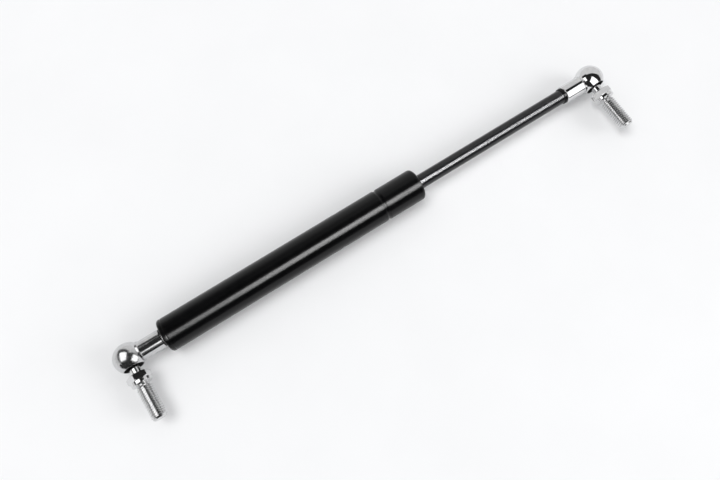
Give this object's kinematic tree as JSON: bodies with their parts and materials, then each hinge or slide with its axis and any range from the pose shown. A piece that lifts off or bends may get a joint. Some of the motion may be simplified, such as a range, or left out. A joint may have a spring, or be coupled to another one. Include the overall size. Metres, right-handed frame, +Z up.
{
  "type": "gas strut stay",
  "caption": "Gas strut stay: a black cylinder and sliding rod between angle ball joints whose threaded studs stand out to the side.",
  "frame": {"origin": "on the axis of the tube-end stud, in the plane of its seat (the flange's outer face)", "axes": "+X along the strut from the tube's ball joint to the rod's, -Y along both studs to their tips, +Z up; the rod is fully out at rest"},
  "size_m": [0.31, 0.0435, 0.018],
  "materials": {
    "tube": "satin black paint over a rolled steel tube",
    "rod": "polished black nitrided steel",
    "bright": "bright zinc-plated steel, polished",
    "end_ring": "matt black",
    "plug": "turned steel",
    "washer": "stamped steel",
    "spring": "drawn spring wire",
    "rubber": "matt black nitrile rubber",
    "guide": "die-cast, turned",
    "bush": "bronze, fine turned",
    "piston": "die-cast, turned",
    "piston_ring": "natural moulded plastic"
  },
  "bodies": {
    "cylinder": {"pressure_tube": "tube", "end_plug": "plug", "end_plug_o_ring": "rubber", "stop_washer": "washer", "rod_seal": "rubber", "seal_spacer": "washer", "rod_guide": "guide", "guide_o_ring": "rubber", "guide_bush": "bush", "wiper_ring": "rubber", "end_washer": "washer", "tube_end_socket": "bright"},
    "slider": {"piston_ring": "piston_ring"},
    "rod": {"piston_rod": "rod", "piston": "piston", "orifice_disc": "washer", "piston_washer": "washer", "rod_end_ring": "end_ring", "rod_end_socket": "bright"},
    "tube_end_swivel_ring": {"tube_end_retaining_ring": "spring"},
    "tube_end_stud": {"tube_end_ball_stud": "bright"},
    "rod_end_swivel_ring": {"rod_end_retaining_ring": "spring"},
    "rod_end_stud": {"rod_end_ball_stud": "bright"}
  },
  "joints": [
    {"name": "rod_slide", "type": "slide", "parent": "cylinder", "child": "slider", "axis": [1, 0, 0], "range_m": [-0.095, 0]},
    {"name": "rod_turn", "type": "hinge", "parent": "slider", "child": "rod", "pos_m": [0.1425, 0.015, 0], "axis": [1, 0, 0], "continuous": true},
    {"name": "tube_end_swivel", "type": "hinge", "parent": "cylinder", "child": "tube_end_swivel_ring", "pos_m": [0, 0.015, 0], "axis": [0, 1, 0], "continuous": true},
    {"name": "tube_end_tilt", "type": "hinge", "parent": "tube_end_swivel_ring", "child": "tube_end_stud", "pos_m": [0, 0.015, 0], "axis": [0, 0, 1], "range_deg": [-15, 15]},
    {"name": "rod_end_swivel", "type": "hinge", "parent": "rod", "child": "rod_end_swivel_ring", "pos_m": [0.294, 0.015, 0], "axis": [0, 1, 0], "continuous": true},
    {"name": "rod_end_tilt", "type": "hinge", "parent": "rod_end_swivel_ring", "child": "rod_end_stud", "pos_m": [0.294, 0.015, 0], "axis": [0, 0, 1], "range_deg": [-15, 15]}
  ]
}
